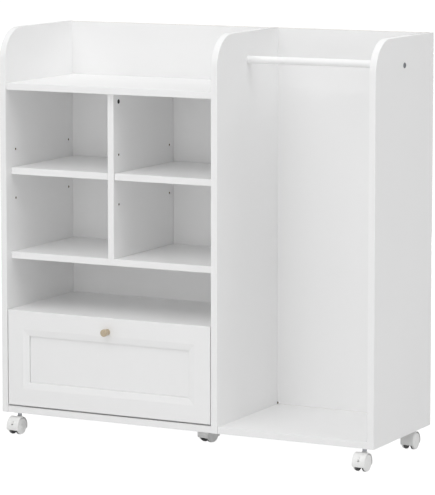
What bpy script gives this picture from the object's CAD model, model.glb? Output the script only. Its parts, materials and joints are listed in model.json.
import json
import math

import bmesh
import bpy
from mathutils import Matrix, Vector


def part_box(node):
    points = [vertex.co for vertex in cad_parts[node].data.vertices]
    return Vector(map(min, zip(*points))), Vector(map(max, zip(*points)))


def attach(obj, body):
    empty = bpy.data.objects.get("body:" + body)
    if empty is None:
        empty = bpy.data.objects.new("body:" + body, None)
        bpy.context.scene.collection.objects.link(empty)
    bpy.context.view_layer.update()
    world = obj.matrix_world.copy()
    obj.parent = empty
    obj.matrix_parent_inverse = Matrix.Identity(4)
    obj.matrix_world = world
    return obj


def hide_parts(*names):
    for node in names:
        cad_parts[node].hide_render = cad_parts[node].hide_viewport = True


# An open-front wardrobe for a child's clothes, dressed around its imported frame. Lengths are in metres, but
# in millimetres in turned profiles and in the grain of materials.
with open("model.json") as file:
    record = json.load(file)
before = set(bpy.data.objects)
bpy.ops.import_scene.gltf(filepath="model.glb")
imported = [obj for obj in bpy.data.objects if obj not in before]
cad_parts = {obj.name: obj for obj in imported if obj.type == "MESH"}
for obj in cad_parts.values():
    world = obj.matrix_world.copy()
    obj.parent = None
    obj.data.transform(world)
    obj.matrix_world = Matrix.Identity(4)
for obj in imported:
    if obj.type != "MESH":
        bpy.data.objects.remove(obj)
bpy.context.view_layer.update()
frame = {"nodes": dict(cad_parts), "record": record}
scene = bpy.context.scene
MM = 0.001


# The view
# A long lens stands in front and to the right, a little above the wardrobe, and looks down at it by a few
# degrees. The lens is shifted down, because the photograph is cropped off the optical axis.
VIEW_TURN = math.radians(27.29)
VIEW_TILT = math.radians(6.534)
VIEW_AIM = Vector((-0.0171, 0.059, 0.5824))
VIEW_DISTANCE = 6.3805
SENSOR_MM = 36
LENS_MM = 212.32
LENS_SHIFT = -0.15
LIGHT_BOUNCES = 8

ahead = Vector((
    -math.sin(VIEW_TURN) * math.cos(VIEW_TILT),
    math.cos(VIEW_TURN) * math.cos(VIEW_TILT),
    -math.sin(VIEW_TILT)))
camera = bpy.data.objects.new("camera", bpy.data.cameras.new("camera"))
camera.data.sensor_width = SENSOR_MM
camera.data.lens = LENS_MM
camera.data.shift_y = LENS_SHIFT
camera.location = VIEW_AIM - ahead * VIEW_DISTANCE
camera.rotation_mode = "QUATERNION"
camera.rotation_quaternion = ahead.to_track_quat("-Z", "Y")
scene.collection.objects.link(camera)
scene.camera = camera
scene.view_settings.view_transform = "Standard"
scene.cycles.diffuse_bounces = LIGHT_BOUNCES


# The studio floor and backdrop
# A white paper sweep: seen by the camera, or in a gloss, it is white and keeps only a faint shadow. It
# throws light back up on the wardrobe as pale paper does.
def linear(colour):
    """An sRGB hex colour as linear RGBA."""
    parts = [int(colour[i:i + 2], 16) / 255 for i in (1, 3, 5)]
    return [p / 12.92 if p <= 0.04045 else ((p + 0.055) / 1.055) ** 2.4 for p in parts] + [1.0]


def add(tree, kind, inputs=None, **settings):
    """Adds a node with its settings. An input is a value, or the socket that it is linked to."""
    node = tree.nodes.new(kind)
    for name, value in settings.items():
        setattr(node, name, value)
    for name, value in (inputs or {}).items():
        if isinstance(value, bpy.types.NodeSocket):
            tree.links.new(value, node.inputs[name])
        else:
            node.inputs[name].default_value = value
    return node


def new_material(name):
    """An empty material with its output, and its tree."""
    material = bpy.data.materials.new(name)
    material.use_nodes = True
    material.node_tree.nodes.clear()
    add(material.node_tree, "ShaderNodeOutputMaterial")
    return material, material.node_tree


def show(tree, shader):
    """Links a shader to the tree's output."""
    tree.links.new(shader.outputs[0], tree.nodes["Material Output"].inputs["Surface"])


def seen_directly(tree):
    """1 for a ray from the camera or from a glossy or clear surface, 0 for other light."""
    rays = add(tree, "ShaderNodeLightPath")
    seen = add(tree, "ShaderNodeMath", {0: rays.outputs["Is Camera Ray"], 1: rays.outputs["Is Glossy Ray"]},
               operation="MAXIMUM")
    return add(tree, "ShaderNodeMath", {0: seen.outputs[0], 1: rays.outputs["Is Transmission Ray"]},
               operation="MAXIMUM").outputs[0]


# The paper's own glow rises from PAPER_GLOW near the wardrobe to full white at FLOOR_FAR, and a diffuse
# share of SHADE_OF_PAPER keeps the shadow.
FLOOR_SIZE = 80.0
FLOOR_NEAR = 1.0
FLOOR_FAR = 3.0
PAPER_GLOW = 0.93
SHADE_OF_PAPER = 0.4
PAPER_COLOUR = "#e7e7e7"

paper, tree = new_material("white_paper_sweep")
place = add(tree, "ShaderNodeTexCoord")
reach = add(tree, "ShaderNodeVectorMath", {0: place.outputs["Object"]}, operation="LENGTH")
glow = add(tree, "ShaderNodeMapRange", {
    "Value": reach.outputs["Value"], "From Min": FLOOR_NEAR, "From Max": FLOOR_FAR,
    "To Min": PAPER_GLOW, "To Max": 1.0}, interpolation_type="SMOOTHSTEP")
lit_paper = add(tree, "ShaderNodeEmission", {"Color": linear("#ffffff"), "Strength": glow.outputs[0]})
faint = add(tree, "ShaderNodeBsdfDiffuse", {"Color": [SHADE_OF_PAPER] * 3 + [1.0]})
white_look = add(tree, "ShaderNodeAddShader", {0: lit_paper.outputs[0], 1: faint.outputs[0]})
plain_look = add(tree, "ShaderNodeBsdfDiffuse", {"Color": linear(PAPER_COLOUR)})
show(tree, add(tree, "ShaderNodeMixShader", {
    0: seen_directly(tree), 1: plain_look.outputs[0], 2: white_look.outputs[0]}))

half = FLOOR_SIZE / 2
floor_corners = [(-half, -half, 0), (half, -half, 0), (half, half, 0), (-half, half, 0)]
floor_mesh = bpy.data.meshes.new("floor")
floor_mesh.from_pydata(floor_corners, [], [(0, 1, 2, 3)])
floor_mesh.materials.append(paper)
floor = bpy.data.objects.new("floor", floor_mesh)
scene.collection.objects.link(floor)

ROOM_LIGHT = 0.24
scene.world = bpy.data.worlds.new("white_studio")
scene.world.use_nodes = True
tree = scene.world.node_tree
tree.nodes.clear()
strength = add(tree, "ShaderNodeMapRange", {
    "Value": seen_directly(tree), "To Min": ROOM_LIGHT, "To Max": 1.0})
sky = add(tree, "ShaderNodeBackground", {"Color": linear("#ffffff"), "Strength": strength.outputs[0]})
add(tree, "ShaderNodeOutputWorld", {"Surface": sky.outputs[0]})

# The lamps
# Soft boxes, as in a product studio: name, power in watts, place, width and height. Each faces LAMP_AIM.
LAMP_AIM = Vector((0, 0, 0.45))
LAMPS = [
    ("overhead", 29, (0, 0, 3.2), 3.0, 3.0),
    ("front_overhead", 33, (0, -2.4, 3.0), 3.0, 1.6),
    ("front_left", 13, (-3.0, -2.6, 1.6), 1.8, 2.4),
    ("front_right", 2, (3.0, -2.6, 1.6), 1.8, 2.4),
    ("front", 21, (0.3, -4.5, 1.4), 3.0, 2.4),
    ("low_front", 9, (0.3, -3.5, 0.4), 3.0, 0.8),
    ("right", 16, (3.4, 0.0, 1.6), 2.4, 2.4),
    ("right_high", 16, (2.6, -0.6, 2.6), 1.6, 1.6),
    ("left", 10, (-3.4, 0.7, 0.6), 1.6, 0.9),
    ("back", 34, (-0.3, 3.4, 0.5), 1.6, 0.9)]
for name, power, where, width, height in LAMPS:
    lamp = bpy.data.lights.new(name, "AREA")
    lamp.shape = "RECTANGLE"
    lamp.size, lamp.size_y = width, height
    lamp.energy = power
    holder = bpy.data.objects.new(name, lamp)
    holder.location = where
    holder.rotation_mode = "QUATERNION"
    holder.rotation_quaternion = (LAMP_AIM - Vector(where)).to_track_quat("-Z", "Y")
    scene.collection.objects.link(holder)


# The carcass boards
# Particle board of 15 mm with white foil on both faces and a white band ironed on its edges, whose corners
# are eased by hand. The drilled holes show the raw board.
EASE = 0.8 * MM
record = frame["record"]
nodes = frame["nodes"]
BODY = {node: body for body, held in record["behaviour"]["bodies"].items() for node in held}

# How near two levels, two corners to be merged, and a point and the arc that it lies on are to each other.
CLOSE = 1e-5
SAME_POINT = CLOSE / 10
ON_ARC = 5 * CLOSE

# A direction with a part over this runs along an axis.
ALIGNED = 0.999

# An edge that bends by more than this, in degrees, is shaded sharp.
SHARP = 40


def merged(node):
    """The shape of a CAD node, with its loose triangles joined into whole faces."""
    shape = bmesh.new()
    shape.from_mesh(nodes[node].data)
    bmesh.ops.remove_doubles(shape, verts=shape.verts, dist=SAME_POINT)
    bmesh.ops.dissolve_limit(shape, angle_limit=math.radians(1), verts=shape.verts, edges=shape.edges)
    return shape


def bends(edge, degrees):
    """Whether the faces at an edge meet at more than an angle."""
    return edge.calc_face_angle(0) > math.radians(degrees)


def ease(shape, edges, width, steps=2):
    """Rounds the given edges of a shape."""
    bmesh.ops.bevel(shape, geom=edges, offset=width, segments=steps, profile=0.5, affect="EDGES",
                    clamp_overlap=False, material=-1)


def new_piece(name, shape, materials):
    """An object from a shape, shaded smooth but for its sharp edges."""
    mesh = bpy.data.meshes.new(name)
    shape.to_mesh(mesh)
    shape.free()
    for material in materials:
        mesh.materials.append(material)
    mesh.shade_smooth()
    mesh.set_sharp_from_angle(angle=math.radians(SHARP))
    piece = bpy.data.objects.new(name, mesh)
    scene.collection.objects.link(piece)
    piece.modifiers.new("even_shading", "WEIGHTED_NORMAL").keep_sharp = True
    return piece


def stand_for(piece, node):
    """Lets a piece take the place of a CAD node, on its body and with its finish."""
    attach(piece, BODY[node])
    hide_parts(node)


def is_at(value, *levels):
    """Whether a value lies at one of the levels."""
    return any(abs(value - level) < CLOSE for level in levels)


def board(node, foil, band, raw, width=EASE):
    """Dresses a CAD board with eased edges: foil on its faces, band on its edges, raw in its holes.

    An upright may have a rounded top front corner, whose radius is read off its top edge."""
    shape = merged(node)
    low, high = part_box(node)
    thin = min(range(3), key=lambda i: high[i] - low[i])
    others = [i for i in range(3) if i != thin]
    top = [v.co.y for v in shape.verts if is_at(v.co.z, high.z)]
    rounding = min(top) - low.y if thin == 0 else 0.0
    hub_y, hub_z = low.y + rounding, high.z - rounding

    def on_outline(p, slack=0.0):
        if rounding > CLOSE and p.y < hub_y and p.z > hub_z:
            return abs(math.hypot(p.y - hub_y, p.z - hub_z) - rounding) < ON_ARC + slack
        return any(min(abs(p[i] - low[i]), abs(p[i] - high[i])) < CLOSE + slack for i in others)

    outer = []
    for edge in shape.edges:
        a, b = (v.co for v in edge.verts)
        if not (bends(edge, 30) and edge.is_convex):
            continue
        sides = [i for i in range(3) if is_at(a[i], low[i]) and is_at(b[i], low[i])
                 or is_at(a[i], high[i]) and is_at(b[i], high[i])]
        if len(sides) >= 2 or thin in sides and on_outline(a) and on_outline(b):
            outer.append(edge)
    ease(shape, outer, width)
    for face in shape.faces:
        centre = face.calc_center_median()
        if abs(face.normal[thin]) > ALIGNED and is_at(centre[thin], low[thin], high[thin]):
            face.material_index = 0
        elif on_outline(centre, width):
            face.material_index = 1
        else:
            face.material_index = 2
    stand_for(new_piece(node + "_board", shape, (foil, band, raw)), node)


# Melamine foil, pressed with fine pores along the grain: a satin white in which only the gloss varies.
# The pores are 0.4 mm wide and 9 mm long.
def satin_foil(name, colour, shade, roughness, pore=(0.4, 0.4, 9.0), depth=0.03):
    material, tree = new_material(name)
    place = add(tree, "ShaderNodeTexCoord")
    along = add(tree, "ShaderNodeMapping", {
        "Vector": place.outputs["Object"], "Scale": [1 / (size * MM) for size in pore]})
    pores = add(tree, "ShaderNodeTexNoise", {
        "Vector": along.outputs[0], "Scale": 1.0, "Detail": 3.0, "Roughness": 0.6})
    cloud = add(tree, "ShaderNodeTexNoise", {
        "Vector": place.outputs["Object"], "Scale": 5.0, "Detail": 2.0, "Roughness": 0.5})
    tone = add(tree, "ShaderNodeMix", {
        "Factor": cloud.outputs["Fac"], "A": linear(colour), "B": linear(shade)}, data_type="RGBA")
    gloss = add(tree, "ShaderNodeMapRange", {
        "Value": pores.outputs["Fac"], "To Min": roughness - 0.04, "To Max": roughness + 0.06})
    relief = add(tree, "ShaderNodeBump", {
        "Height": pores.outputs["Fac"], "Strength": 0.25, "Distance": depth * MM})
    show(tree, add(tree, "ShaderNodeBsdfPrincipled", {
        "Base Color": tone.outputs["Result"], "Roughness": gloss.outputs[0], "Normal": relief.outputs[0],
        "IOR": 1.5}))
    return material


WHITE = "#f4f4f4"
WHITE_SHADE = "#f2f2f2"
upright_foil = satin_foil("melamine_foil_upright", WHITE, WHITE_SHADE, 0.42)
shelf_foil = satin_foil("melamine_foil_level", WHITE, WHITE_SHADE, 0.42, pore=(9.0, 0.4, 0.4))

# ABS edge band, ironed on and scraped: plain, and a little duller than the foil.
edge_band = satin_foil("abs_edge_band", WHITE, WHITE_SHADE, 0.5, pore=(0.8, 0.8, 0.8), depth=0.01)


# Raw particle board, as a drill leaves it: brown chips of 1 to 2 mm with dark gaps between them.
def particle_board(name, colour, gap, chip=1.5):
    material, tree = new_material(name)
    place = add(tree, "ShaderNodeTexCoord")
    chips = add(tree, "ShaderNodeTexVoronoi", {
        "Vector": place.outputs["Object"], "Scale": 1 / (chip * MM)}, feature="F1")
    tone = add(tree, "ShaderNodeMix", {
        "Factor": chips.outputs["Distance"], "A": linear(colour), "B": linear(gap)}, data_type="RGBA")
    relief = add(tree, "ShaderNodeBump", {
        "Height": chips.outputs["Distance"], "Strength": 0.6, "Distance": 0.2 * MM})
    show(tree, add(tree, "ShaderNodeBsdfPrincipled", {
        "Base Color": tone.outputs["Result"], "Roughness": 0.9, "Normal": relief.outputs[0]}))
    return material


raw_board = particle_board("raw_particle_board", "#957a57", "#523d27")

for node in ("left_panel", "middle_panel", "right_panel", "divider"):
    board(node, upright_foil, edge_band, raw_board)
for node in ("left_bottom_board", "right_bottom_board", "drawer_bay_shelf", "middle_shelf", "top_shelf",
             "left_adjustable_shelf", "right_adjustable_shelf"):
    board(node, shelf_foil, edge_band, raw_board)


# The back panels
# Fibreboard of 6 mm with white foil on both faces, slid down the grooves of the uprights from above.
# Their edges stay as sawn, and show only at the top and at the foot.
SAWN_EASE = 0.3 * MM
back_foil = satin_foil("back_panel_foil", "#f0f0f0", "#eeeeee", 0.48)
sawn_edge = satin_foil("sawn_fibreboard_edge", "#e6e1d8", "#ddd6ca", 0.8, pore=(0.5, 0.5, 0.5))
for node in ("left_back_panel", "right_back_panel"):
    board(node, back_foil, sawn_edge, sawn_edge, SAWN_EASE)


# The fittings inside the boards
# Cam locks of die-cast zinc draw plated steel bolts tight, and beech dowels keep the boards in line. They
# were tapped and turned in before the wardrobe was closed, and little of them shows.
def finish_node(node, material):
    """Gives a CAD node that stays a material."""
    for slot in nodes[node].material_slots:
        slot.material = material


# Zinc-plated steel: rolled or turned, then plated in a barrel. A cold grey metal whose gloss is broken by
# fine pits of 0.3 mm and wider, duller clouds.
def bare_metal(name, colour, shade, roughness, grain=0.3, cloud_size=3.0, depth=0.02):
    material, tree = new_material(name)
    place = add(tree, "ShaderNodeTexCoord")
    pits = add(tree, "ShaderNodeTexNoise", {
        "Vector": place.outputs["Object"], "Scale": 1 / (grain * MM), "Detail": 2.0, "Roughness": 0.6})
    cloud = add(tree, "ShaderNodeTexNoise", {
        "Vector": place.outputs["Object"], "Scale": 1 / (cloud_size * MM), "Detail": 2.0, "Roughness": 0.5})
    tone = add(tree, "ShaderNodeMix", {
        "Factor": cloud.outputs["Fac"], "A": linear(colour), "B": linear(shade)}, data_type="RGBA")
    gloss = add(tree, "ShaderNodeMapRange", {
        "Value": cloud.outputs["Fac"], "To Min": roughness - 0.06, "To Max": roughness + 0.1})
    relief = add(tree, "ShaderNodeBump", {
        "Height": pits.outputs["Fac"], "Strength": 0.3, "Distance": depth * MM})
    show(tree, add(tree, "ShaderNodeBsdfPrincipled", {
        "Base Color": tone.outputs["Result"], "Metallic": 1.0, "Roughness": gloss.outputs[0],
        "Normal": relief.outputs[0]}))
    return material


plated_steel = bare_metal("zinc_plated_steel", "#b9bbbe", "#a3a5a9", 0.34)

# Die-cast zinc, passivated black: it fills a steel die, and comes out dull and slightly granular.
cast_zinc = bare_metal(
    "black_die_cast_zinc", "#4a4b4d", "#3c3d3f", 0.5, grain=0.5, cloud_size=2.0, depth=0.05)


# Beech, as a dowel is rolled from it: pale and pinkish, with dark flecks of 0.5 by 3 mm along the grain.
def solid_wood(name, colour, vein, fleck, ring, roughness, centre=(0.0, 0.0, 0.0)):
    """Wood whose growth rings lie round the axis Y through centre, ring millimetres apart."""
    material, tree = new_material(name)
    wave_repeat = math.tau / 20  # the distance at which a wave texture of scale 1 repeats
    place = add(tree, "ShaderNodeTexCoord")
    pith = add(tree, "ShaderNodeMapping", {
        "Vector": place.outputs["Object"], "Location": [-c for c in centre]})
    rings = add(tree, "ShaderNodeTexWave", {
        "Vector": pith.outputs[0], "Scale": wave_repeat / (ring * MM), "Distortion": 1.6, "Detail": 2.0,
        "Detail Scale": 1.5}, wave_type="RINGS", rings_direction="Y")
    drawn = add(tree, "ShaderNodeMapping", {
        "Vector": pith.outputs[0], "Scale": [1 / (size * MM) for size in fleck]})
    flecks = add(tree, "ShaderNodeTexNoise", {
        "Vector": drawn.outputs[0], "Scale": 1.0, "Detail": 3.0, "Roughness": 0.65})
    share = add(tree, "ShaderNodeMath", {0: rings.outputs["Fac"], 1: flecks.outputs["Fac"]},
                operation="MULTIPLY")
    tone = add(tree, "ShaderNodeMix", {
        "Factor": share.outputs[0], "A": linear(colour), "B": linear(vein)}, data_type="RGBA")
    relief = add(tree, "ShaderNodeBump", {
        "Height": flecks.outputs["Fac"], "Strength": 0.3, "Distance": 0.05 * MM})
    show(tree, add(tree, "ShaderNodeBsdfPrincipled", {
        "Base Color": tone.outputs["Result"], "Roughness": roughness, "Normal": relief.outputs[0]}))
    return material


beech = solid_wood("rolled_beech", "#d9b88c", "#b98f62", fleck=(3.0, 0.5, 0.5), ring=2.0, roughness=0.6)

finish_node("cam_locks", cast_zinc)
finish_node("cam_bolts", plated_steel)
finish_node("board_dowels", beech)


# The shelf pins and the screws
# Turned on an automatic lathe or rolled from wire, then zinc plated. Each kind is one turned blank that is
# set in every place of its kind. A screw's head has a cross recess stamped in it.
def solids_of(node):
    """The box of each separate solid of a CAD node, in order of place."""
    shape = merged(node)
    left = set(shape.verts)
    boxes = []
    while left:
        corners, reached = [], [left.pop()]
        while reached:
            corner = reached.pop()
            corners.append(corner.co.copy())
            for edge in corner.link_edges:
                other = edge.other_vert(corner)
                if other in left:
                    left.remove(other)
                    reached.append(other)
        boxes.append((Vector(map(min, zip(*corners))), Vector(map(max, zip(*corners)))))
    shape.free()
    return sorted(boxes, key=lambda box: [round(c, 4) for c in box[0]])


def turned(profile, steps=32):
    """A solid turned about Z from a profile of (radius, height) in millimetres, and of the finish's number.

    The profile runs from pole to pole, or comes back to its first point. A point's finish is that of the
    surface that leads to it."""
    shape = bmesh.new()
    rings = []
    for radius, height, *_ in profile:
        turns = 1 if radius == 0 else steps
        rings.append([shape.verts.new((
            radius * MM * math.cos(math.tau * i / turns), radius * MM * math.sin(math.tau * i / turns),
            height * MM)) for i in range(turns)])
    for one, two, point in zip(rings, rings[1:], profile[1:]):
        for i in range(steps):
            after = (i + 1) % steps
            corners = [one[i % len(one)], one[after % len(one)], two[after % len(two)], two[i % len(two)]]
            face = shape.faces.new(list(dict.fromkeys(corners)))
            face.material_index = point[2] if len(point) > 2 else 0
    bmesh.ops.remove_doubles(shape, verts=shape.verts, dist=SAME_POINT)
    bmesh.ops.recalc_face_normals(shape, faces=shape.faces)
    return shape


def arc(centre_radius, centre_height, size, start, end, steps):
    """Points of a profile along a round corner, from one angle to another in degrees, where 0 is outwards."""
    angles = [math.radians(start + (end - start) * k / steps) for k in range(steps + 1)]
    return [(centre_radius + size * math.cos(a), centre_height + size * math.sin(a)) for a in angles]


THREAD_ROOT = 0.82


def thread(top, foot, radius, pitch):
    """Points of a profile down a rolled thread, drawn as ridges a pitch apart."""
    sides = 2 * int((top - foot) / pitch)
    root = radius * THREAD_ROOT
    return [(radius if side % 2 else root, top - (side + 0.5) * pitch / 2) for side in range(sides)]


set_blanks = bpy.data.node_groups.new("blanks_in_places", "GeometryNodeTree")
for name, kind in (("Places", "Geometry"), ("Blank", "Object"), ("Recess", "Bool"), ("Recess span", "Float"),
                   ("Recess width", "Float"), ("Recess depth", "Float"), ("Finish", "Material")):
    set_blanks.interface.new_socket(name, in_out="INPUT", socket_type="NodeSocket" + kind)
set_blanks.interface.new_socket("Set", in_out="OUTPUT", socket_type="NodeSocketGeometry")
given = add(set_blanks, "NodeGroupInput").outputs
blank = add(set_blanks, "GeometryNodeObjectInfo", {"Object": given["Blank"]}).outputs["Geometry"]
stamped = add(set_blanks, "GeometryNodeMeshBoolean", {"Mesh 1": blank}, operation="DIFFERENCE",
              solver="EXACT")
twice_depth = add(set_blanks, "ShaderNodeMath", {0: given["Recess depth"], 1: 2.0}, operation="MULTIPLY")
for across, along in (("Recess span", "Recess width"), ("Recess width", "Recess span")):
    size = add(set_blanks, "ShaderNodeCombineXYZ", {
        "X": given[across], "Y": given[along], "Z": twice_depth.outputs[0]})
    arm = add(set_blanks, "GeometryNodeMeshCube", {"Size": size.outputs[0]})
    set_blanks.links.new(arm.outputs["Mesh"], stamped.inputs["Mesh 2"])
made = add(set_blanks, "GeometryNodeSwitch", {
    "Switch": given["Recess"], "False": blank, "True": stamped.outputs["Mesh"]}, input_type="GEOMETRY")
way = add(set_blanks, "GeometryNodeInputNamedAttribute", {"Name": "way"}, data_type="FLOAT_VECTOR")
facing = add(set_blanks, "FunctionNodeAlignRotationToVector", {"Vector": way.outputs["Attribute"]}, axis="Z")

# Each blank is turned by an angle of its own, up to half a turn. The node for a random float has its highest
# value at input 3, and gives the float at output 1.
FLOAT_MAX, FLOAT_VALUE, TURN_SEED = 3, 1, 7
angle = add(set_blanks, "FunctionNodeRandomValue", {FLOAT_MAX: math.pi, "Seed": TURN_SEED},
            data_type="FLOAT")
turn = add(set_blanks, "FunctionNodeAxisAngleToRotation", {
    "Axis": (0.0, 0.0, 1.0), "Angle": angle.outputs[FLOAT_VALUE]})
driven = add(set_blanks, "FunctionNodeRotateRotation", {
    "Rotation": facing.outputs[0], "Rotate By": turn.outputs[0]}, rotation_space="LOCAL")
spread = add(set_blanks, "GeometryNodeInstanceOnPoints", {
    "Points": given["Places"], "Instance": made.outputs[0], "Rotation": driven.outputs[0]})
whole = add(set_blanks, "GeometryNodeRealizeInstances", {"Geometry": spread.outputs[0]})
finished = add(set_blanks, "GeometryNodeSetMaterial", {
    "Geometry": whole.outputs[0], "Material": given["Finish"]})
add(set_blanks, "NodeGroupOutput", {"Set": finished.outputs[0]})

# An edge of a screw or a pin that bends by more than this, in degrees, is shaded sharp.
SHARP_WHEN_TURNED = 35


def head_end(box, way):
    """The middle of a box's end in the direction way."""
    low, high = box
    return [(a + b) / 2 + w * (b - a) / 2 for a, b, w in zip(low, high, way)]


def set_in_places(node, ways, profile, material, recess=None):
    """Puts a turned blank in every place of a CAD node's solids: its face, at height 0, looks along ways.

    recess is the span, width and depth of the cross in its face, in millimetres."""
    boxes = solids_of(node)
    places = bpy.data.meshes.new(node + "_places")
    places.from_pydata([head_end(box, way) for box, way in zip(boxes, ways)], [], [])
    values = places.attributes.new("way", "FLOAT_VECTOR", "POINT")
    values.data.foreach_set("vector", [c for way in ways for c in way])
    holder = bpy.data.objects.new(node + "_places", places)
    scene.collection.objects.link(holder)
    blank_mesh = bpy.data.meshes.new("blank")
    shape = turned(profile)
    shape.to_mesh(blank_mesh)
    shape.free()
    blank = bpy.data.objects.new("blank", blank_mesh)
    span, width, depth = recess or (1, 1, 1)
    inputs = {"Blank": blank, "Recess": recess is not None, "Recess span": span * MM,
              "Recess width": width * MM, "Recess depth": depth * MM, "Finish": material}
    modifier = holder.modifiers.new("set", "NODES")
    modifier.node_group = set_blanks
    for item in set_blanks.interface.items_tree:
        if item.name in inputs:
            modifier[item.identifier] = inputs[item.name]
    graph = bpy.context.evaluated_depsgraph_get()
    mesh = bpy.data.meshes.new_from_object(holder.evaluated_get(graph))
    mesh.name = node + "_turned"
    mesh.shade_smooth()
    mesh.set_sharp_from_angle(angle=math.radians(SHARP_WHEN_TURNED))
    piece = bpy.data.objects.new(node + "_turned", mesh)
    scene.collection.objects.link(piece)
    bpy.data.objects.remove(holder)
    bpy.data.objects.remove(blank)
    stand_for(piece, node)


LEFT, RIGHT, BACK, DOWN, UP = (-1, 0, 0), (1, 0, 0), (0, 1, 0), (0, 0, -1), (0, 0, 1)


def away_from(node, x):
    """LEFT or RIGHT for each solid of a node, so that its head looks away from x."""
    return [LEFT if low.x + high.x < 2 * x else RIGHT for low, high in solids_of(node)]


# A pin stands out of the board whose face lies between its ends.
pin_faces = [(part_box(node)[end].x, way) for node, end, way in (
    ("left_panel", 1, RIGHT), ("divider", 0, LEFT), ("divider", 1, RIGHT), ("middle_panel", 0, LEFT))]
pin_ways = [
    next(way for x, way in pin_faces if low.x < x < high.x) for low, high in solids_of("shelf_pins")]
PIN_R, PIN_L, PIN_EDGE = 2.5, 15, 0.4
PIN_GROOVE = [(PIN_R, -3.2), (2.2, -3.4), (2.2, -4.2), (PIN_R, -4.4)]
pin = [
    (0, 0), (PIN_R - PIN_EDGE, 0), (PIN_R, -PIN_EDGE), *PIN_GROOVE, (PIN_R, PIN_EDGE - PIN_L),
    (PIN_R - PIN_EDGE, -PIN_L), (0, -PIN_L)]
set_in_places("shelf_pins", pin_ways, pin, plated_steel)


def wood_screw(length):
    """Profile of a countersunk wood screw, its face at height 0."""
    head_r, head_h, shank_r, neck, tip, tip_share, pitch = 3.5, 2.2, 1.75, 1, 3, 0.8, 1.6
    return [(0, 0), (head_r - 0.1, 0), (head_r, -0.15), (shank_r, -head_h), (shank_r, -head_h - neck),
            *thread(-head_h - neck - 0.5, tip - length, shank_r, pitch),
            (shank_r * tip_share, tip - 0.4 - length), (0, -length)]


DIVIDER_SCREW_L, RUNNER_SCREW_L, BOX_SCREW_L = 35, 14, 34
WOOD_RECESS = (4.0, 0.9, 1.5)
set_in_places("divider_screws", [DOWN] * 2, wood_screw(DIVIDER_SCREW_L), plated_steel, WOOD_RECESS)

# The hanging rail
# A steel tube of 16 mm with white powder coat, plugged at its ends. One screw through each board holds it,
# under a domed head.
low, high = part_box("hanging_rail")
rail_centre = (low + high) / 2
RAIL_R, RAIL_WALL, RAIL_EDGE = 8, 1.2, 0.3
rail_half = (high.x - low.x) / 2 / MM
outer_end = arc(RAIL_R - RAIL_EDGE, rail_half - RAIL_EDGE, RAIL_EDGE, 0, 90, 3)
rail_profile = [
    (RAIL_R - RAIL_WALL, -rail_half), *[(r, -h) for r, h in reversed(outer_end)], *outer_end,
    (RAIL_R - RAIL_WALL, rail_half), (RAIL_R - RAIL_WALL, -rail_half)]


# White powder coat: sprayed dry, then melted in an oven. It flows out with a faint orange peel of 2 mm.
def smooth_coat(name, colour, shade, roughness, peel, depth):
    material, tree = new_material(name)
    place = add(tree, "ShaderNodeTexCoord")
    waves = add(tree, "ShaderNodeTexNoise", {
        "Vector": place.outputs["Object"], "Scale": 1 / (peel * MM), "Detail": 1.0, "Roughness": 0.4})
    cloud = add(tree, "ShaderNodeTexNoise", {
        "Vector": place.outputs["Object"], "Scale": 30.0, "Detail": 2.0, "Roughness": 0.5})
    tone = add(tree, "ShaderNodeMix", {
        "Factor": cloud.outputs["Fac"], "A": linear(colour), "B": linear(shade)}, data_type="RGBA")
    gloss = add(tree, "ShaderNodeMapRange", {
        "Value": cloud.outputs["Fac"], "To Min": roughness - 0.04, "To Max": roughness + 0.05})
    relief = add(tree, "ShaderNodeBump", {
        "Height": waves.outputs["Fac"], "Strength": 0.3, "Distance": depth * MM})
    show(tree, add(tree, "ShaderNodeBsdfPrincipled", {
        "Base Color": tone.outputs["Result"], "Roughness": gloss.outputs[0], "Normal": relief.outputs[0]}))
    return material


def aimed(shape, place, way):
    """Turns a shape from Z to the direction way, and moves it to its place."""
    shape.transform(Matrix.Translation(place) @ Vector(way).to_track_quat("Z", "Y").to_matrix().to_4x4())
    return shape


powder_coat = smooth_coat("white_powder_coat", WHITE, WHITE_SHADE, 0.4, peel=2.0, depth=0.06)
rail = new_piece(
    "hanging_rail_tube", aimed(turned(rail_profile, steps=64), rail_centre, RIGHT), (powder_coat,))
stand_for(rail, "hanging_rail")

# Polypropylene plugs, injection moulded: pale grey and waxy.
plug_plastic = smooth_coat("moulded_polypropylene", "#cfd0cf", "#c8c9c8", 0.5, peel=1.0, depth=0.03)
finish_node("rail_plugs", plug_plastic)

# The same steel as the other screws with a dark passivated plating: a cold mid grey with a satin gloss.
dark_steel = bare_metal("dark_plated_steel", "#7a7c80", "#686a6e", 0.38)

DOME_R, DOME_H, DOME_CURVE, DOME_EDGE, DOME_STEPS = 6, 2.6, 12, 0.2, 8
SHANK_R, SHANK_L, SHANK_PLAIN, SHANK_TIP_R, SHANK_PITCH = 2.5, 33, 14, 2.0, 1.8
RAIL_RECESS = (6.0, 1.2, 1.4)
dome_radii = [DOME_R * k / DOME_STEPS for k in range(DOME_STEPS + 1)]
rail_screw = [
    *[(r, math.sqrt(DOME_CURVE ** 2 - r ** 2) - DOME_CURVE) for r in dome_radii],
    (DOME_R, DOME_EDGE - DOME_H), (DOME_R - DOME_EDGE, -DOME_H), (SHANK_R, -DOME_H),
    (SHANK_R, -DOME_H - SHANK_PLAIN),
    *thread(-DOME_H - SHANK_PLAIN - 0.5, -DOME_H - SHANK_L + 1.5, SHANK_R, SHANK_PITCH),
    (SHANK_TIP_R, -DOME_H - SHANK_L + 1), (0, -DOME_H - SHANK_L)]
set_in_places("rail_screws", away_from("rail_screws", rail_centre.x), rail_screw, dark_steel, RAIL_RECESS)

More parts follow.
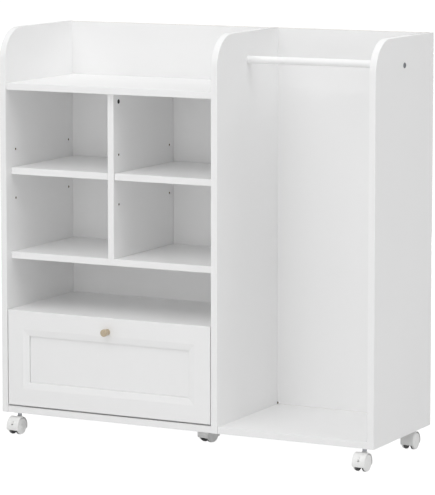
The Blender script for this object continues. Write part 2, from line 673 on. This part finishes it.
# The drawer's box and its runners
# Boards of 12 mm with white foil, screwed together at the corners round a thin bottom panel. The box slides
# on two strips screwed to the bottom board.
BOX_EASE, STRIP_EASE, STRIP_EDGE = 0.6 * MM, 0.5 * MM, 5 * MM
box_foil = satin_foil("drawer_box_foil", WHITE, WHITE_SHADE, 0.46, pore=(0.4, 9.0, 0.4))
for node in ("drawer_left_side", "drawer_right_side", "drawer_inner_front", "drawer_back"):
    board(node, box_foil, edge_band, raw_board, BOX_EASE)
board("drawer_bottom", box_foil, sawn_edge, raw_board, SAWN_EASE)


def level(edge):
    """Whether both faces at an edge are square to the axes of the frame."""
    return all(max(abs(c) for c in face.normal) > ALIGNED for face in edge.link_faces)


def eased_copy(name, node, materials, chosen, width, steps=3):
    """A piece that is a CAD node's shape with the chosen edges rounded."""
    shape = merged(node)
    ease(shape, [edge for edge in shape.edges if chosen(edge)], width, steps)
    piece = new_piece(name, shape, materials)
    stand_for(piece, node)
    return piece


eased_copy("drawer_runners_strip", "drawer_runners", (box_foil,),
           lambda edge: level(edge) and edge.is_convex and edge.calc_length() > STRIP_EDGE, STRIP_EASE)
drawer_middle_x = sum(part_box("drawer_back"), Vector()).x / 2
set_in_places("runner_screws", [UP] * 4, wood_screw(RUNNER_SCREW_L), plated_steel, WOOD_RECESS)
set_in_places("drawer_box_screws", away_from("drawer_box_screws", drawer_middle_x),
              wood_screw(BOX_SCREW_L), plated_steel, WOOD_RECESS)

# The drawer front
# A frame of fibreboard with a sloped inner edge round a recessed panel. White foil is pressed over all of
# it under vacuum, so no joint shows at the corners and every edge is soft.
front_foil = smooth_coat("vacuum_pressed_foil", "#f3f3f3", "#f1f1f1", 0.4, peel=1.2, depth=0.02)
panel_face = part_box("drawer_front_panel")[0].y
SOFT_EDGE, PANEL_EDGE, PANEL_GAP = 1.0 * MM, 0.2 * MM, 0.5 * MM


def is_front_edge(edge):
    """Whether an edge of the drawer front runs along or up it, clear ahead of the recessed panel."""
    way = (edge.verts[0].co - edge.verts[1].co).normalized()
    return (max(abs(way.x), abs(way.z)) > ALIGNED and bends(edge, 5)
            and max(v.co.y for v in edge.verts) < panel_face - PANEL_GAP)


for node in ("drawer_front_rails", "drawer_front_stiles"):
    eased_copy(node + "_foiled", node, (front_foil,), is_front_edge, SOFT_EDGE)
eased_copy("drawer_front_panel_foiled", "drawer_front_panel", (front_foil,), level, PANEL_EDGE)


def machine_screw(length):
    """Profile of a pan-head machine screw, its face at height 0."""
    head_r, head_h, brow, shank_r, tip_share, pitch = 3.8, 2.4, 1, 2.0, 0.8, 0.9
    return [(0, 0), *reversed(arc(head_r - brow, -brow, brow, 0, 90, 4)), (head_r, -head_h),
            (shank_r, -head_h), *thread(-head_h - 0.3, 0.6 - length, shank_r, pitch),
            (shank_r * tip_share, -length), (0, -length)]


MACHINE_RECESS = (3.8, 1.0, 1.2)
for node in ("drawer_front_screws", "knob_screw"):
    boxes = solids_of(node)
    low, high = boxes[0]
    profile = machine_screw((high.y - low.y) / MM)
    set_in_places(node, [BACK] * len(boxes), profile, plated_steel, MACHINE_RECESS)

# The knob
# Turned from a greyish brown hardwood and lacquered satin. Its neck swells to a face with a rounded rim, and
# one screw from inside the drawer holds it.
low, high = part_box("drawer_knob")
KNOB_REACH, KNOB_FACE_R, KNOB_NECK_R, KNOB_RIM = 18, 8, 6.8, 2
KNOB_HOLE_R, KNOB_HOLE_L = 2.05, 10.05
BEAD, BEAD_WIDEST, BEAD_WAIST, BEAD_END = 0.4, 0.3, 1.2, 2.4
SWELL_START, SWELL_L, SWELL_STEPS = 7.5, 5.5, 8
swell = [(
    KNOB_NECK_R + (KNOB_FACE_R - KNOB_NECK_R) * (1 - math.cos(math.pi * k / SWELL_STEPS)) / 2,
    SWELL_START + SWELL_L * k / SWELL_STEPS) for k in range(SWELL_STEPS + 1)]
knob_profile = [
    (0, KNOB_HOLE_L), (KNOB_HOLE_R, KNOB_HOLE_L), (KNOB_HOLE_R, 0), (KNOB_NECK_R + BEAD / 2, 0),
    (KNOB_NECK_R + BEAD, BEAD_WIDEST), (KNOB_NECK_R + BEAD / 2, BEAD_WAIST), (KNOB_NECK_R, BEAD_END), *swell,
    *arc(KNOB_FACE_R - KNOB_RIM, KNOB_REACH - KNOB_RIM, KNOB_RIM, 0, 90, 6), (0, KNOB_REACH)]
knob_foot = Vector(((low.x + high.x) / 2, high.y, (low.z + high.z) / 2))
PITH = 14 * MM
knob_wood = solid_wood(
    "lacquered_hardwood", "#c9b99f", "#8f7f69", fleck=(0.5, 7.0, 0.5), ring=1.6, roughness=0.38,
    centre=(knob_foot.x - PITH, 0, knob_foot.z - PITH))
knob = new_piece(
    "drawer_knob_turned", aimed(turned(knob_profile, steps=64), knob_foot, (0, -1, 0)), (knob_wood,))
stand_for(knob, "drawer_knob")

# The caster stems and inserts
# A turned stem of plated steel: a pin that the hood turns on, a collar, and a thread that goes up into a
# steel insert in the bottom board.
STEM_L, STEM_R, STEM_EDGE = 35.5, 3, 0.5
THREAD_L, THREAD_R, THREAD_END_R, THREAD_PITCH, THREAD_LEAD = 11, 4, 3.4, 1.25, 0.6
COLLAR_R, COLLAR_FOOT, COLLAR_EDGE = 4.75, 19.65, 0.3
stem = [
    (0, 0), (THREAD_END_R, 0), *thread(-THREAD_LEAD, THREAD_LEAD - THREAD_L, THREAD_R, THREAD_PITCH),
    (THREAD_R, -THREAD_L), (COLLAR_R - COLLAR_EDGE, -THREAD_L), (COLLAR_R, -THREAD_L - COLLAR_EDGE),
    (COLLAR_R, COLLAR_EDGE - COLLAR_FOOT), (COLLAR_R - COLLAR_EDGE, -COLLAR_FOOT), (STEM_R, -COLLAR_FOOT),
    (STEM_R, STEM_EDGE - STEM_L), (STEM_R - STEM_EDGE, -STEM_L), (0, -STEM_L)]

# Plated steel that has been handled: a plain grey with a satin gloss.
stem_steel = bare_metal("dulled_plated_steel", "#a6a8ac", "#909296", 0.42)
set_in_places("caster_stems", [UP] * 5, stem, stem_steel)
finish_node("caster_inserts", plated_steel)

# The caster hoods
# Injection-moulded white nylon: a fender over both wheels and a web between them that turns on the stem.
# The front pair has a brake lever in a window of the fender.
hood_nylon = smooth_coat("moulded_white_nylon", "#f3f3f2", "#f0f0ef", 0.3, peel=3.0, depth=0.05)
CASTERS = ("front_left", "front_right", "centre", "rear_left", "rear_right")
RIM_ROUND, LEVER_ROUND, LEVER_EDGE = 0.5 * MM, 0.3 * MM, 3 * MM

# A face is taken to lie round the axle where its corners are this near to one radius, and its normal leans
# along the axle by no more than a tenth.
ROUND_SLACK = 8 * CLOSE
ROUND_LEAN = 0.1
AXLE = {name: sum(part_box(name + "_axle"), Vector()) / 2 for name in CASTERS}
ALONG = {joint["child"].removesuffix("_right_wheel"): Vector(joint["axis"])
         for joint in record["behaviour"]["joints"] if joint["child"].endswith("_right_wheel")}


def is_hood_rim(node, axle, along):
    """A test for the edges where a fender's sides meet its outside."""
    corners = [v.co - axle for v in nodes[node].data.vertices]
    side = max(abs(c.dot(along)) for c in corners)
    reach = max(c.z for c in corners)

    def chosen(edge):
        spots = [v.co - axle for v in edge.verts]
        return all(abs(abs(p.dot(along)) - side) < CLOSE
                   and abs((p - along * p.dot(along)).length - reach) < ON_ARC for p in spots)
    return chosen


def shade_round(piece, axle, along):
    """Shades every face that lies round an axle as part of a true cylinder."""
    graph = bpy.context.evaluated_depsgraph_get()
    mesh = bpy.data.meshes.new_from_object(piece.evaluated_get(graph))
    normals = [corner.vector.copy() for corner in mesh.corner_normals]
    for face in mesh.polygons:
        spots = [mesh.vertices[i].co - axle for i in face.vertices]
        outward = [spot - along * spot.dot(along) for spot in spots]
        reach = [arm.length for arm in outward]
        if max(reach) - min(reach) > ROUND_SLACK or abs(face.normal.dot(along)) > ROUND_LEAN:
            continue
        sign = 1 if face.normal.dot(sum(outward, Vector())) > 0 else -1
        for corner, arm in zip(face.loop_indices, outward):
            normals[corner] = sign * arm.normalized()
    mesh.normals_split_custom_set(normals)
    piece.modifiers.clear()
    piece.data = mesh


for name in CASTERS:
    node = name + "_hood"
    rim = is_hood_rim(node, AXLE[name], ALONG[name])
    hood = eased_copy(node + "_moulded", node, (hood_nylon,), rim, RIM_ROUND)
    shade_round(hood, AXLE[name], ALONG[name])
    finish_node(name + "_axle", plated_steel)
for name in ("front_left", "front_right"):
    eased_copy(
        name + "_brake_lever_moulded", name + "_brake_lever", (hood_nylon,),
        lambda edge: edge.is_convex and bends(edge, 60) and edge.calc_length() > LEVER_EDGE, LEVER_ROUND)

# The wheels
# A wheel of dark grey polyurethane with a tread, and a white nylon cap clipped over its outer side. The cap
# has a rounded rim and is dished a little round the axle.
cap_nylon = smooth_coat("moulded_nylon_disc", "#f1f1f0", "#eeeeed", 0.28, peel=3.0, depth=0.05)
tread = smooth_coat("polyurethane_tread", "#2b2b2c", "#353536", 0.55, peel=0.6, depth=0.06)
CAP, TREAD = 0, 1
WHEEL_GAP = 12.5
WHEEL_R, WHEEL_W, BORE_R, BORE_L = 18.5, 8, 2.55, 7
TREAD_W, TREAD_ROUND, TREAD_LIP = 3.6, 1, 0.3
CAP_R, CAP_ROUND = 17.8, 1.5

# The wheel's inner side, with a hollow ring between hub and rim, and the cap's face: a step down inside its
# rim, a dish and a low boss. Each point is a radius and its height from the inner side.
INNER_SIDE = [(4.4, 0), (4.8, 0.6), (15.1, 0.6), (15.5, 0), (17.4, 0)]
CAP_FACE = [(15.4, WHEEL_W), (14.8, 7.7), (5.0, 7.4), (4.4, 7.7), (3.6, 7.9), (0, 7.9)]
wheel_body = [
    (0, BORE_L), (BORE_R, BORE_L), (BORE_R, 0), *INNER_SIDE,
    *arc(WHEEL_R - TREAD_ROUND, TREAD_ROUND, TREAD_ROUND, -90, 0, 4), (WHEEL_R, TREAD_W - TREAD_LIP),
    (CAP_R, TREAD_W)]
wheel_cap = [*arc(CAP_R - CAP_ROUND, WHEEL_W - CAP_ROUND, CAP_ROUND, 0, 90, 8), *CAP_FACE]
wheel_profile = [(*point, TREAD) for point in wheel_body] + [(*point, CAP) for point in wheel_cap]
for name in CASTERS:
    for side, way in (("left", -ALONG[name]), ("right", ALONG[name])):
        node = f"{name}_{side}_wheel"
        inner = AXLE[name] + way * WHEEL_GAP / 2 * MM
        shape = aimed(turned(wheel_profile, steps=72), inner, way)
        stand_for(new_piece(node + "_moulded", shape, (cap_nylon, tread)), node)
